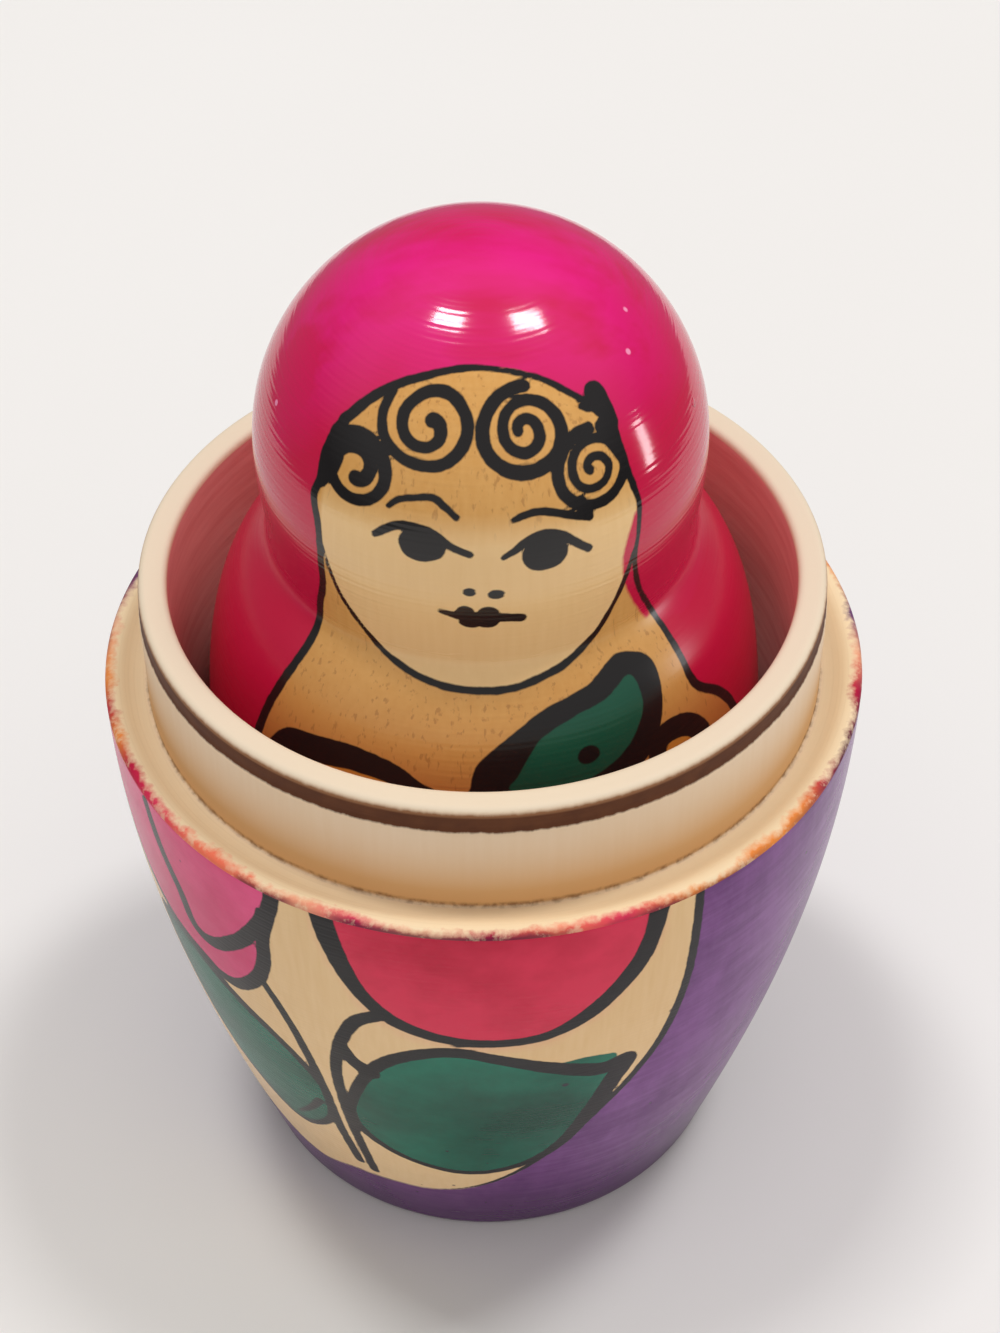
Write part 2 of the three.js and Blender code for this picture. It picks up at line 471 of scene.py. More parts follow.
def oval(centre, girth, half_width, half_height):
    """A closed oval path of half sizes in millimetres about a centre, on a skin of that girth radius."""
    turn = np.linspace(0, 2 * math.pi, OVAL_POINTS, endpoint=False)
    across = centre[0] + np.degrees(half_width * np.cos(turn) / girth)
    return drawn(np.column_stack([across, centre[1] + half_height * np.sin(turn)]), closed=True, steps=2)


def together(*layers):
    """The nearest of several layers."""
    return np.minimum.reduce(layers)


def lines(skin, *marks):
    """The nearest of several brush lines, each given by its points, its widths and whether it closes."""
    return together(*[stroke(skin, drawn(*mark)) for mark in marks])


def ovals(skin, girth, *spots):
    """The nearest of several ovals, each given by its centre and its half sizes."""
    return together(*[shape(skin, oval(spot[0], girth, *spot[1:])) for spot in spots])


def outlined(skin, path, half_width):
    """A line of one even width along a path."""
    return stroke(skin, np.column_stack([path[:, :2], np.full(len(path), half_width)]))


def between(outer, inner):
    """What lies inside the outer shape and outside the inner one."""
    return np.maximum(outer, -inner)


# %% [markdown]
# ## The cup's picture
# The largest doll's lower half shows a window of bare wood in purple dye. In it stand a red flower, a pink
# flower and two leaves, all outlined in black. The left of the window turns out of sight, so its far side
# repeats the near one.

# %% Paint the cup
CUP_WINDOW = [
    (31.6, 58), (31.6, 50), (31, 42.4), (28.5, 35.3), (24.2, 29.8), (18.8, 24.7), (12.3, 18.7), (5.1, 13.9),
    (-2.1, 10.8), (-10.8, 8.9), (-20, 8.6), (-29.5, 8.2), (-39.4, 6.1), (-50, 7.5), (-62, 12), (-75, 22),
    (-86, 36), (-91, 50), (-91.6, 58),
]
RED_OUTSIDE = [
    (-25.4, 57), (-25, 54.4), (-23.6, 50.8), (-20.4, 46.2), (-16.3, 42.8), (-12.6, 41.2), (-6.8, 40),
    (-0.8, 39.5), (8.1, 39.9), (15.5, 42), (21.3, 45.7), (24.8, 49.4), (26.7, 54.5), (27, 57),
]
RED_INSIDE = [
    (-21.4, 57), (-21.2, 54.4), (-19.4, 49.8), (-16.9, 45.9), (-12.3, 42.9), (-5.2, 41.1), (2.1, 40.7),
    (9.3, 41.4), (15.8, 44.6), (20.3, 48.2), (22.9, 52.1), (23.6, 57),
]
RED_STEM = [
    (-15.8, 42.8), (-19.7, 40.9), (-22.9, 36.7), (-24.9, 31.4), (-25.3, 26.2), (-25.2, 18.9), (-24.3, 9.8),
]
RED_STEM_HOOK = [(-22.9, 36.7), (-21.5, 34.1), (-19, 32.7)]
RIGHT_LEAF = [
    (-23.5, 25.9), (-18.7, 32.8), (-13.2, 36.6), (-5.4, 38.5), (2.1, 37.4), (9.9, 35.3), (18.2, 33.2),
    (22.4, 33.6), (20.7, 30.4), (17.8, 25.5), (13.2, 19.6), (6.1, 15.8), (-3.5, 14.1), (-13.1, 15.2),
    (-20.5, 17.8), (-24.3, 21.4),
]
PINK_EDGE = [
    (-31, 57), (-31.2, 54), (-33.6, 48.7), (-34.2, 45), (-36.4, 41.4), (-41.3, 38), (-45.9, 37.1),
    (-49.8, 37.8), (-55, 38.4), (-60, 39.4), (-68, 43), (-75, 50), (-78, 57),
]
PINK_PETAL = [
    (-33, 51.6), (-34.1, 49.8), (-38.4, 45.9), (-45.1, 42.2), (-50, 42.2), (-52, 46), (-55.7, 49.9),
    (-58.5, 54),
]
PINK_STEM = [(-35.6, 41.4), (-32.5, 37.3), (-30.3, 32.4), (-28.8, 25.7), (-28.5, 18.6), (-27.2, 11)]
LEFT_LEAF = [
    (-47.5, 36), (-43, 34.6), (-37.3, 32.6), (-32.3, 29.7), (-28.8, 25.7), (-29.5, 20.2), (-33.9, 16.5),
    (-40.1, 14.7), (-46.9, 16.8), (-56, 22), (-62, 30), (-64, 37), (-56, 38),
]
LEFT_LEAF_RIB = [(-39, 16.4), (-35, 19), (-31, 22.6)]
LEAF_SMEAR = [(12, 35.3), (15.5, 35), (19.5, 34.8)]


def paint_cup(skin):
    """The cup's layers in millimetres: bare window, red, pink, leaves and black lines."""
    window = shape(skin, drawn(CUP_WINDOW))
    red_outside, red = shape(skin, drawn(RED_OUTSIDE)), shape(skin, drawn(RED_INSIDE))
    pink = drawn(PINK_EDGE, (1.6, 1.5, 1.2, 0.9))
    leaves = together(
        shape(skin, drawn(RIGHT_LEAF, closed=True)), shape(skin, drawn(LEFT_LEAF, closed=True)),
        lines(skin, (LEAF_SMEAR, (0.4, 1.3, 0.9))),
    )
    ink = lines(
        skin,
        (CUP_WINDOW, (0.9, 0.9, 0.7, 0.1, 0.1, 1.1, 1.5)),
        (RED_STEM, (1.5, 1.3, 1.2, 1.2, 1.0)),
        (RED_STEM_HOOK, (1.1, 2.2)),
        (RIGHT_LEAF, (1.1, 1.6, 1.5, 2.3, 2.0, 0.9, 0.8, 1.1), True),
        (PINK_PETAL, (1.5, 1.6, 1.4, 1.2)),
        (PINK_STEM, (1.0, 1.1, 1.1)),
        (LEFT_LEAF, (1.4, 1.1, 0.8, 0.8, 1.1), True),
        (LEFT_LEAF_RIB, (0.4, 0.9)),
    )
    ink = together(ink, between(red_outside, red), stroke(skin, pink))
    return dict(bare=window, red=red, pink=shape(skin, pink), leaf=leaves, ink=ink)


# %% [markdown]
# ## The doll's picture
# The dolls inside wear a dyed scarf and shawl round a bare face and front. Black lines edge the scarf and
# draw the hair as four curls, the brows, the eyes, the nose and the mouth. A leaf and a yellow rose sit on
# the chest. Heights count up from the seam and down from it. Below the rim of the cup nothing of the second
# doll shows, so that part follows the cup's picture.

# %% Paint a doll
CHEST_GIRTH, FACE_GIRTH, HAIR_GIRTH = 22.5, 18.3, 14.0
SCARF_LEFT = [
    (-5, -36.5), (-22, -35), (-40, -28), (-52, -14), (-56, 0), (-54, 10), (-51.4, 15.7), (-48.7, 19.4),
    (-46.5, 23), (-46.2, 26.9), (-43.1, 30.5), (-42.6, 36), (-45, 38.9), (-43.2, 41.2), (-43.7, 43.3),
    (-41.9, 45.8),
]
SCARF_TOP = [
    (-41.9, 45.8), (-35.4, 48.3), (-27.5, 50), (-16.1, 51.3), (-5.4, 51.9), (3.3, 51.9), (13.9, 51.4),
    (23.4, 50.4), (31.1, 48.8), (36, 47.4), (40.6, 45.5),
]
SCARF_RIGHT = [
    (40.6, 45.5), (40.4, 42.7), (41.3, 40.2), (42.2, 38.3), (41.3, 36.1), (40.4, 32.9), (43.6, 29.2),
    (49.6, 25.2), (50.8, 21.3), (51.9, 17.9), (58.7, 15.1), (62.8, 12.3), (66, 8), (66, 0), (60, -14),
    (46, -27), (26, -34), (8, -36.5),
]
HAIR_TUFTS = [
    ([(33, 47.6), (36, 47.4), (39.5, 48.2), (40.4, 45.5)], (0.6, 1.0, 1.6, 1.4)),
    ([(36.8, 45.6), (38.6, 44.8), (40, 42.8)], (1.2, 1.6, 1.0)),
    ([(-42.3, 44.6), (-42, 42.5), (-43.2, 40.5)], (1.6, 2.2, 1.2)),
    ([(25.5, 40.6), (27.4, 39.6)], (1.2, 0.9)),
]
CHIN = [
    (-41.8, 34.9), (-40.2, 33), (-37.3, 30), (-32.3, 27.6), (-26.2, 25.7), (-17.3, 24.4), (-8.6, 23.7),
    (-0.7, 23.5), (7.5, 23.6), (15.4, 24.2), (23.3, 25.1), (30.9, 26.9), (35.5, 29.6), (38, 32),
    (39.9, 34.1),
]
LEFT_BROW = [(-23.2, 40.7), (-20.7, 41.4), (-16.3, 41.8), (-11.9, 42), (-8.8, 41.4), (-5.8, 40.6)]
RIGHT_BROW = [(8.2, 40.3), (11.3, 40.6), (15.1, 40.7), (20, 40.2), (27.6, 39.2)]
LEFT_LASH = [
    (-26.2, 38), (-23.6, 38.7), (-20.3, 39.3), (-15.9, 39.4), (-11.6, 39.1), (-7.3, 38.2), (-2.5, 37.5),
]
RIGHT_LASH = [
    (5.5, 37.2), (8.2, 37.7), (11.4, 38.4), (15.7, 38.8), (19.9, 38.4), (23, 37.5), (26.7, 36.5),
]
IRISES = [((-14.1, 38), 1.9, 1.5), ((15.6, 37.1), 1.85, 1.6)]
NOSTRILS = [((-2.7, 33.9), 0.55, 0.45), ((3.7, 33.6), 0.7, 0.52)]
LIPS = [
    ((-3.9, 31.7), 0.75, 0.7), ((1.8, 31.6), 0.85, 0.7),
    ((-2.5, 30.6), 0.95, 0.75), ((1.4, 30.6), 0.95, 0.75),
]
MOUTH = [(-9.8, 31.6), (-6.5, 31.3), (-1, 31.1), (5, 31), (9.8, 30.75)]
CHEEK_STAIN = [(41, 37.6), (39.4, 34), (41.8, 29.8), (47.4, 25.6)]
ROSE_TOP = [(-47, 13), (-42.8, 14.7), (-35.8, 15.4), (-27.8, 16), (-20, 15.8), (-14.4, 14.9), (-9, 13.8)]
ROSE_BELOW = [(-4, 6), (-10, -5), (-26, -10), (-44, -5), (-52, 6)]
FACE_ABOVE = [(38, 44), (0, 50), (-38, 44)]
CHEST_LEAF_OUTSIDE = [
    (-3.4, 13.4), (-2.7, 15.2), (-0.8, 17.6), (6.7, 20), (14.7, 21.7), (25.1, 22.6), (33.3, 24),
    (38.6, 23.7), (42.9, 22.4), (42.9, 20), (41, 17.6), (38.5, 15.8), (34.2, 14.2), (28.1, 13.4), (12, 12.6),
]
CHEST_LEAF_INSIDE = [
    (5.5, 15), (7.3, 16.3), (12.1, 19.1), (20.1, 20.4), (28.5, 21), (35.7, 22.1), (37.2, 20.3), (36.2, 18.6),
    (31.4, 16.4), (25, 15.1), (14, 14.2),
]
LEAF_EYE = ((22.3, 16.9), 1.0, 0.8)
BUD_LOOP = [(37, 11), (38.3, 14.8), (40.7, 15.6), (45.3, 15.4), (49, 14.3), (51.7, 12.5), (52, 9)]
ROSE_CENTRE, BLOOM_CENTRE, BLOOM_SIZE = (-27, 2), (24, -8), (10, 12)
ROSE_LINE, BLOOM_LINE, SKIRT_LINE = 0.4, 0.5, 0.8
# Each curl's centre, girth, radii, sweep and widths: four of hair, then the bloom and the rose.
CURLS = [
    ((-33.4, 42.7), 16.4, (2.9, 2.3, 2.4, 2.45, 1.7, 1.05, 0.75), (160, -450), (1.5, 1.0, 1.1, 1.3)),
    (
        (-14.8, 47.2), HAIR_GIRTH, (4.2, 3.0, 2.7, 2.95, 2.3, 1.6, 0.85, 0.6), (150, 800),
        (0.8, 1.0, 1.0, 0.9, 1.2),
    ),
    (
        (13.7, 47.0), HAIR_GIRTH, (3.3, 3.1, 3.2, 2.7, 2.25, 1.6, 1.7, 0.95, 0.85, 0.5), (80, 900),
        (1.0, 1.2, 0.85, 0.95, 0.85),
    ),
    (
        (30.7, 42.8), 16.0, (3.1, 2.8, 2.75, 2.7, 2.3, 1.6, 1.45, 1.35, 0.9, 0.2), (80, 900),
        (1.1, 0.9, 0.7, 0.75),
    ),
    (BLOOM_CENTRE, CHEST_GIRTH, (7, 1), (80, 640), (0.9, 0.6)),
    (ROSE_CENTRE, CHEST_GIRTH, (8, 1), (100, 660), (0.9, 0.6)),
]
ROSE_STEM = [(-24, -10), (-16, -20), (-8, -28), (-3, -35)]
BLOOM_STEM = [(22, -20), (12, -26), (5, -31), (1, -36)]
SKIRT_LEAVES = [
    [(-12, -26), (-22, -20), (-34, -16), (-42, -15), (-38, -23), (-28, -30), (-18, -31)],
    [(10, -27), (20, -23.5), (32, -21), (46, -19), (40, -25), (28, -31), (16, -32)],
]


def paint_doll(skin):
    """A doll's layers in millimetres: bare front, the face where a reflection is painted, leaf, rose, bloom
    and black lines.
    """
    front = drawn(SCARF_LEFT + SCARF_TOP[1:] + SCARF_RIGHT[1:])
    rose = drawn(ROSE_TOP + ROSE_BELOW, closed=True)
    bloom = oval(BLOOM_CENTRE, CHEST_GIRTH, *BLOOM_SIZE)
    skirt_leaves = [drawn(leaf, SKIRT_LINE, closed=True) for leaf in SKIRT_LEAVES]
    chest_leaf = shape(skin, drawn(CHEST_LEAF_INSIDE, closed=True))
    ink = lines(
        skin, *HAIR_TUFTS,
        (LEFT_LASH, (0.6, 0.8, 0.8, 0.6)),
        (RIGHT_LASH, (0.5, 0.8, 0.8, 0.7)),
        (LEFT_BROW, (0.5, 0.65, 0.6)),
        (RIGHT_BROW, (0.55, 0.65, 0.65)),
        (MOUTH, (0.5, 0.8, 1.2, 1.0, 0.9)),
        (SCARF_LEFT, (1.1, 1.1, 0.8, 0.7, 1.0)),
        (SCARF_TOP, (1.0, 0.7, 0.5, 0.5, 0.8)),
        (SCARF_RIGHT, (0.8, 0.5, 0.55, 0.95, 1.1, 1.1)),
        (CHIN, (0.35, 0.55, 0.65, 0.65, 0.5)),
        (ROSE_TOP, (1.8, 2.6, 2.3, 1.9, 1.2)),
        (BUD_LOOP, (1.6, 2.2, 2.0, 1.2)),
        (ROSE_STEM, (1.1, 0.8)),
        (BLOOM_STEM, (1.1, 0.8)),
    )
    ink = together(
        ink, ovals(skin, FACE_GIRTH, *IRISES, *NOSTRILS, *LIPS), ovals(skin, CHEST_GIRTH, LEAF_EYE),
        between(shape(skin, drawn(CHEST_LEAF_OUTSIDE, closed=True)), chest_leaf),
        outlined(skin, rose, ROSE_LINE), outlined(skin, bloom, BLOOM_LINE),
        *[stroke(skin, curl(*row)) for row in CURLS], *[stroke(skin, leaf) for leaf in skirt_leaves],
    )
    green = together(chest_leaf, *[shape(skin, leaf) for leaf in skirt_leaves])
    yellow = together(shape(skin, rose), shape(skin, drawn(BUD_LOOP)))
    stain = lines(skin, (CHEEK_STAIN, (0.4, 1.9, 1.6, 0.6)))
    # The face inside the chin line, where the finish paints paler wood as a reflection of the white sheet.
    face_reflection = shape(skin, drawn(CHIN + FACE_ABOVE, closed=True))
    return dict(
        bare=between(shape(skin, front), stain), face_reflection=face_reflection, leaf=green, rose=yellow,
        bloom=shape(skin, bloom), ink=ink,
    )


# %% [markdown]
# ## The fringe on the ledge
# The set was painted with the dolls shut. Dye crept into the seam and left a ragged fringe on the ledge, in
# the colours of whatever was painted across the seam there, so its dye goes by the angle.

# %% Choose the fringe's dyes


def dye(red, green, blue):
    """A colour as the eye reads it, 0 to 255, turned into the linear values that the shader mixes."""
    share = np.array([red, green, blue]) / 255
    light = np.where(share <= 0.04045, share / 12.92, ((share + 0.055) / 1.055) ** 2.4)
    return (*light.tolist(), 1.0)


PLUM, WINE, RUBY, ROSE = dye(84, 40, 108), dye(80, 10, 50), dye(188, 14, 60), dye(223, 50, 88)
CORAL, PEACH, ORANGE = dye(242, 118, 88), dye(236, 160, 126), dye(235, 138, 58)
FRINGE = {
    -180: PLUM, -108: PLUM, -95: PEACH, -83: ORANGE, -77: RUBY, -71: ORANGE, -65: RUBY,
    -55: ROSE, -46: CORAL, -34: CORAL, -26: PEACH, -18: ROSE, -10: PEACH, 1: RUBY, 10: CORAL,
    20: ROSE, 30: ORANGE, 53: ORANGE, 60: RUBY, 68: WINE, 80: RUBY, 88: PEACH, 97: PLUM,
    106: ORANGE, 125: PLUM, 180: PLUM,
}


def fringe_dyes(turn):
    """The fringe's dye at each angle, blended between the chosen ones."""
    places, dyes = np.radians(list(FRINGE)), np.array(list(FRINGE.values()))
    return np.column_stack([np.interp(turn, places, channel) for channel in dyes.T])


# %% [markdown]
# ## Turn and paint all the pieces
# Each piece stands for one solid, rides that solid's body, and takes the finish of that solid's slot. The
# small dolls are painted with the second doll's picture, drawn smaller with the doll.

# %% Make the pieces
CUP_MIDDLE = math.radians(-12)
COLUMNS = {"outer": 330, "second": 350, "third": 280, "fourth": 220, "fifth": 190, "sixth": 160}
OUTSIDE_ROWS = {"outer": 150, "second": 190, "third": 150, "fourth": 120, "fifth": 100, "sixth": 90}
OUTSIDE_LENGTH = 2.75  # of a doll's outside, in belly radii
CUP_FINENESS = 0.62  # the cup's step, as a share of the others'
SLOTS = {
    "outer_lower_half": "purple_stain",
    "second_lower_half": "crimson_lacquer", "second_upper_half": "magenta_lacquer",
    "third_lower_half": "magenta_lacquer", "third_upper_half": "purple_lacquer",
    "fourth_lower_half": "crimson_lacquer", "fourth_upper_half": "magenta_lacquer",
    "fifth_lower_half": "magenta_lacquer", "fifth_upper_half": "purple_lacquer",
    "sixth_doll": "magenta_lacquer",
}


def doll_skin(outline, angles, belly):
    """A doll's skin in the second doll's millimetres, so that one picture serves every size."""
    skin = skin_of(outline, angles)
    share = belly / dolls["second"].belly
    return Skin(skin.turn, skin.up / share, skin.radius / share)


names = list(dolls)
pieces = {}
for order, name in enumerate(names):
    doll = dolls[name]
    angles = turns(COLUMNS[name], CUP_MIDDLE if name == "outer" else 0.0)
    step = OUTSIDE_LENGTH * doll.belly / OUTSIDE_ROWS[name] * (CUP_FINENESS if name == "outer" else 1)
    if name == "sixth":
        outlines = {"sixth_doll": solid_outline(doll, step)}
    else:
        following = dolls[names[order + 1]]
        outlines = {name + "_lower_half": lower_outline(doll, following, step)}
        if name != "outer":
            outlines[name + "_upper_half"] = upper_outline(doll, following, step)
    for node, outline in outlines.items():
        piece = turned(node + "_turned", outline, doll.base, angles)
        if name == "outer":
            record(piece, **paint_cup(skin_of(outline._replace(run=outline.height), angles)))
        else:
            painted = doll_skin(outline, angles, doll.belly)
            record(piece, **paint_doll(painted), up=painted.up)
        skin = skin_of(outline, angles)
        record(piece, run=skin.up)
        if node == "outer_lower_half":
            record(piece, fringe=fringe_dyes(skin.turn))
        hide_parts(node)
        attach(piece, node)
        pieces[node] = piece
        print(node, len(piece.data.vertices), "points")

# %% [markdown]
# ## Wires for materials
# A material is a sum over the wires between its nodes. This class wraps one socket, so that sums can be
# written as sums.


# %% Shader wires
class Wire:
    """A socket of the material being mixed. Arithmetic on wires adds math nodes."""

    tree = None

    def __init__(self, socket):
        self.socket = socket

    @classmethod
    def fill(cls, node, inputs):
        """Links wires to the node's sockets, and sets its other sockets."""
        for key, value in inputs.items():
            if isinstance(value, Wire):
                cls.tree.links.new(value.socket, node.inputs[key])
            else:
                node.inputs[key].default_value = value

    @classmethod
    def add(cls, kind, settings=None, inputs=None, output=0):
        """Adds a node, sets it up, fills its sockets, and returns one of its outputs."""
        node = cls.tree.nodes.new(kind)
        for key, value in (settings or {}).items():
            setattr(node, key, value)
        cls.fill(node, inputs or {})
        return cls(node.outputs[output])

    def math(self, operation, *others):
        """One math node on this wire and the others."""
        return Wire.add("ShaderNodeMath", {"operation": operation}, dict(enumerate((self, *others))))

    def clamped(self):
        """This wire, held between 0 and 1."""
        return Wire.add("ShaderNodeClamp", {}, {0: self})

    def __rsub__(self, other):
        return (self * -1.0) + other

    __add__ = __radd__ = partialmethod(math, "ADD")
    __mul__ = __rmul__ = partialmethod(math, "MULTIPLY")
    __sub__ = partialmethod(math, "SUBTRACT")
    __truediv__ = partialmethod(math, "DIVIDE")
    __pow__ = partialmethod(math, "POWER")


def mix(share, first, second):
    """The first colour at share 0, the second at share 1."""
    return Wire.add("ShaderNodeMix", {"data_type": "RGBA"}, {0: share, 6: first, 7: second}, 2)


def layer(name):
    """A painted layer's distance in millimetres."""
    return Wire.add("ShaderNodeAttribute", {"attribute_name": name}, output="Fac")


def place():
    """The piece's own coordinates, in metres."""
    return Wire.add("ShaderNodeTexCoord", output="Object")


def noise(scale, stretch=(1, 1, 1), detail=3.0, rough=0.5):
    """Noise on the piece's own coordinates: scale cells in a metre, times stretch along each axis."""
    where = Wire.add("ShaderNodeVectorMath", {"operation": "MULTIPLY"}, {0: place(), 1: stretch})
    settings = {"Vector": where, "Scale": scale, "Detail": detail, "Roughness": rough}
    return Wire.add("ShaderNodeTexNoise", {}, settings)


def height():
    """Height above the floor in millimetres."""
    return Wire.add("ShaderNodeSeparateXYZ", {}, {0: place()}, "Z") / MM


def ramp(value, low, high):
    """0 up to low, 1 from high on, straight between."""
    return ((value - low) / (high - low)).clamped()


def fade(value, low, high):
    """1 up to low, 0 from high on, straight between."""
    return 1.0 - ramp(value, low, high)


def cover(distance, wobble=0.0, feather=0.14):
    """1 inside a layer, 0 outside, over a soft edge of feather millimetres."""
    return (0.5 - (distance + wobble) / feather).clamped()


def bumped(tall):
    """A normal bent by a height in millimetres."""
    return Wire.add("ShaderNodeBump", {}, {"Distance": MM, "Height": tall}, "Normal")


def material(name, build):
    """A material whose Principled shader gets the sockets that build returns."""
    made = bpy.data.materials.new(name)
    made.use_nodes = True
    Wire.tree = made.node_tree
    Wire.fill(made.node_tree.nodes["Principled BSDF"], build())
    return made


# %% [markdown]
# ## Finishes
# The wood is lime: pale, close and almost without figure. Its fibres run up the doll, and the lathe's tool
# leaves fine rings across them. Dye soaks in unevenly and runs round in the sweep of the brush. Ink lies on
# top, and the inner dolls are lacquered until they shine.

# %% Mix the finishes
AROUND = (1, 1, 12)
UPRIGHT = (1, 1, 0.06)
INK = dye(14, 9, 11)
# Where the doll's shades fade, in millimetres up from the second doll's seam, among them the chest's painted
# shade and the face's painted reflection, which ends at the brows.
CHEST_SHADE, SHAWL, HANDLED, BROWS, CROWN = (12, 26), (25, 33), (25, 36), (38, 41), (43, 55)
# The cup's dark foot is painted shade under the belly.
FOOT_SHADE = (2, 18)  # where the cup's dark foot fades, in millimetres above the floor
# In millimetres: how far paint runs on under its black line, brush edges stray and red bleeds, and where the
# dirt in the ledge's corner, the fringe and its dark edge fade.
UNDER, BRUSH_STRAY, BLEED = 0.3, 0.22, (0.9, 2.6)
DIRT, FRINGE_END, FRINGE_EDGE = (0.06, 0.4), (-0.2, 0.6), (-0.4, 0.1)


def wood_colour(pale, warm):
    """Lime wood: fine upright fibres over a slow drift from pale to warm."""
    fibres = noise(1800, UPRIGHT, 3)
    drift = noise(40, (1, 1, 0.5), 2)
    return mix(ramp(0.3 * fibres + 0.7 * drift, 0.3, 0.7), pale, warm)


def specks(scale, size, share):
    """Small round specks: the middles of some cells, share of them, as wide as size of a cell."""
    cells = {"Vector": place(), "Scale": scale}
    away = Wire.add("ShaderNodeTexVoronoi", {}, cells, "Distance")
    chosen = Wire.add("ShaderNodeTexVoronoi", {}, cells, "Color")
    lot = Wire.add("ShaderNodeSeparateColor", {}, {0: chosen}, "Red")
    return fade(away, 0.6 * size, size) * ramp(lot, 1.0 - share, 1.01 - share)


def edge_wobble():
    """How far a brush edge strays, in millimetres."""
    return (noise(900, (1, 1, 1), 3) - 0.5) * BRUSH_STRAY


def strayed_dye(most):
    """How far dye strays from its edge, up to most millimetres: a slow creep with ragged ends."""
    return (noise(160, (1, 1, 1), 4, 0.6) - 0.5) * (2 * most)


def flat(colour, name, wobble, light, dark, share):
    """A flat of paint over a colour, from light to dark by share, running on under its black line."""
    return mix(cover(layer(name), wobble - UNDER), colour, mix(share, light, dark))


def lathe_ridges(period):
    """Ridges that the tool leaves round a piece: two sines of the run that beat, here and there faint."""
    turn = (layer("run") + noise(35)) * (2 * math.pi / period)
    beat = 0.6 * turn.math("SINE") + 0.5 * (1.62 * turn).math("SINE")
    return beat * (0.2 + 0.8 * ramp(noise(70), 0.42, 0.62))


def lacquered_doll(scarf, shade):
    """Lacquered paint: dyed scarf and shawl over bare wood with painted shade and a painted reflection, the
    flowers and leaf, and glossy black lines.
    """
    wobble = edge_wobble()
    up = layer("up")
    sweep = noise(140, AROUND, 4, 0.6)
    streak = noise(90, (0.35, 1.3, 2.0), 4, 0.6)
    patch = noise(55, (1, 1, 0.6), 3)
    ochre = wood_colour(dye(232, 178, 104), dye(214, 152, 74))
    # Painted shade: the chest is painted darker and warmer below the chin, towards the cup's rim.
    ochre = mix(fade(up, *CHEST_SHADE), ochre, dye(210, 142, 66))
    pores = ramp(noise(2600, (1, 1, 0.13), 2), 0.6, 0.7)
    ochre = mix(0.4 * pores, ochre, dye(150, 92, 44))
    # Painted reflection: the face below the brows is painted paler wood, standing for the white sheet
    # mirrored in the lacquer.
    pale = wood_colour(dye(252, 212, 152), dye(244, 200, 138))
    face_reflection = cover(layer("face_reflection"), 0.0, 0.4) * fade(up, *BROWS)
    wood = mix(face_reflection, ochre, pale)
    shawl = fade(up + (patch - 0.5) * 12, *SHAWL)
    hem = fade(up + (patch - 0.5) * 22, *CROWN)
    deep = (0.75 * ramp(0.6 * streak + 0.4 * patch, 0.43, 0.57)).math("MAXIMUM", 0.95 * hem)
    cloth = mix(deep.math("MAXIMUM", shawl), scarf, shade)
    cloth = mix(specks(260, 0.08, 0.2), cloth, dye(250, 150, 190))
    colour = mix(cover(layer("bare"), strayed_dye(0.4), 0.3), cloth, wood)
    colour = flat(colour, "rose", wobble, dye(236, 174, 72), dye(220, 144, 50), sweep)
    colour = flat(colour, "bloom", wobble, dye(205, 20, 60), dye(170, 8, 40), sweep)
    colour = flat(colour, "leaf", wobble, dye(14, 104, 74), dye(4, 66, 50), patch)
    colour = mix(cover(layer("ink"), wobble), colour, INK)
    handled = fade(up, *HANDLED)
    nibs = specks(170, 0.07, 0.3)
    return {
        "Base Color": colour,
        "Roughness": 0.08 + 0.07 * sweep + 0.18 * handled,
        "IOR": 1.5,
        "Normal": bumped(0.0055 * lathe_ridges(0.75) + 0.02 * noise(110, (1, 1, 1.5), 2) + 0.1 * nibs),
    }


def dyed_cup():
    """Satin dye on the cup: purple, painted darker towards the foot as shade, round a bare window, with
    flowers, leaves and worn black lines.
    """
    wobble = edge_wobble()
    wood = wood_colour(dye(246, 212, 162), dye(232, 192, 138))
    sweep = noise(110, AROUND, 4, 0.6)
    patch = noise(60, (1, 1, 1), 5, 0.6)
    daub = noise(190, (1, 1, 0.45), 4, 0.65)
    uneven = ramp(0.25 * sweep + 0.35 * patch + 0.4 * daub, 0.42, 0.58)
    purple = mix(uneven, dye(130, 72, 142), dye(100, 42, 112))
    # Painted shade: the purple is painted darker towards the foot, where the belly overhangs it.
    purple = mix(0.8 * fade(height(), *FOOT_SHADE), purple, dye(62, 0, 74))
    colour = mix(cover(layer("bare"), strayed_dye(0.5), 0.5), purple, wood)
    bled = fade(layer("red") + strayed_dye(1.5), *BLEED)
    colour = mix(0.3 * bled, colour, dye(236, 150, 140))
    colour = flat(colour, "red", wobble, dye(224, 42, 80), dye(190, 14, 54), ramp(patch, 0.4, 0.62))
    colour = flat(colour, "pink", wobble, dye(236, 78, 136), dye(214, 50, 110), ramp(patch, 0.4, 0.6))
    colour = flat(colour, "leaf", wobble, dye(8, 114, 90), dye(0, 68, 52), ramp(patch, 0.35, 0.65))
    chips = specks(330, 0.07, 0.3).math("MAXIMUM", specks(120, 0.05, 0.4))
    colour = mix(0.8 * chips, colour, dye(52, 22, 50))
    worn = mix(noise(500, (1, 1, 1), 4), dye(12, 10, 12), dye(36, 32, 34))
    colour = mix(cover(layer("ink"), wobble), colour, worn)
    dents = noise(140, (1, 1, 1), 2)
    return {
        "Base Color": colour,
        "Roughness": 0.2 + 0.1 * sweep,
        "IOR": 1.5,
        "Specular IOR Level": 0.2,
        "Normal": bumped(0.004 * lathe_ridges(0.7) + 0.12 * dents),
    }


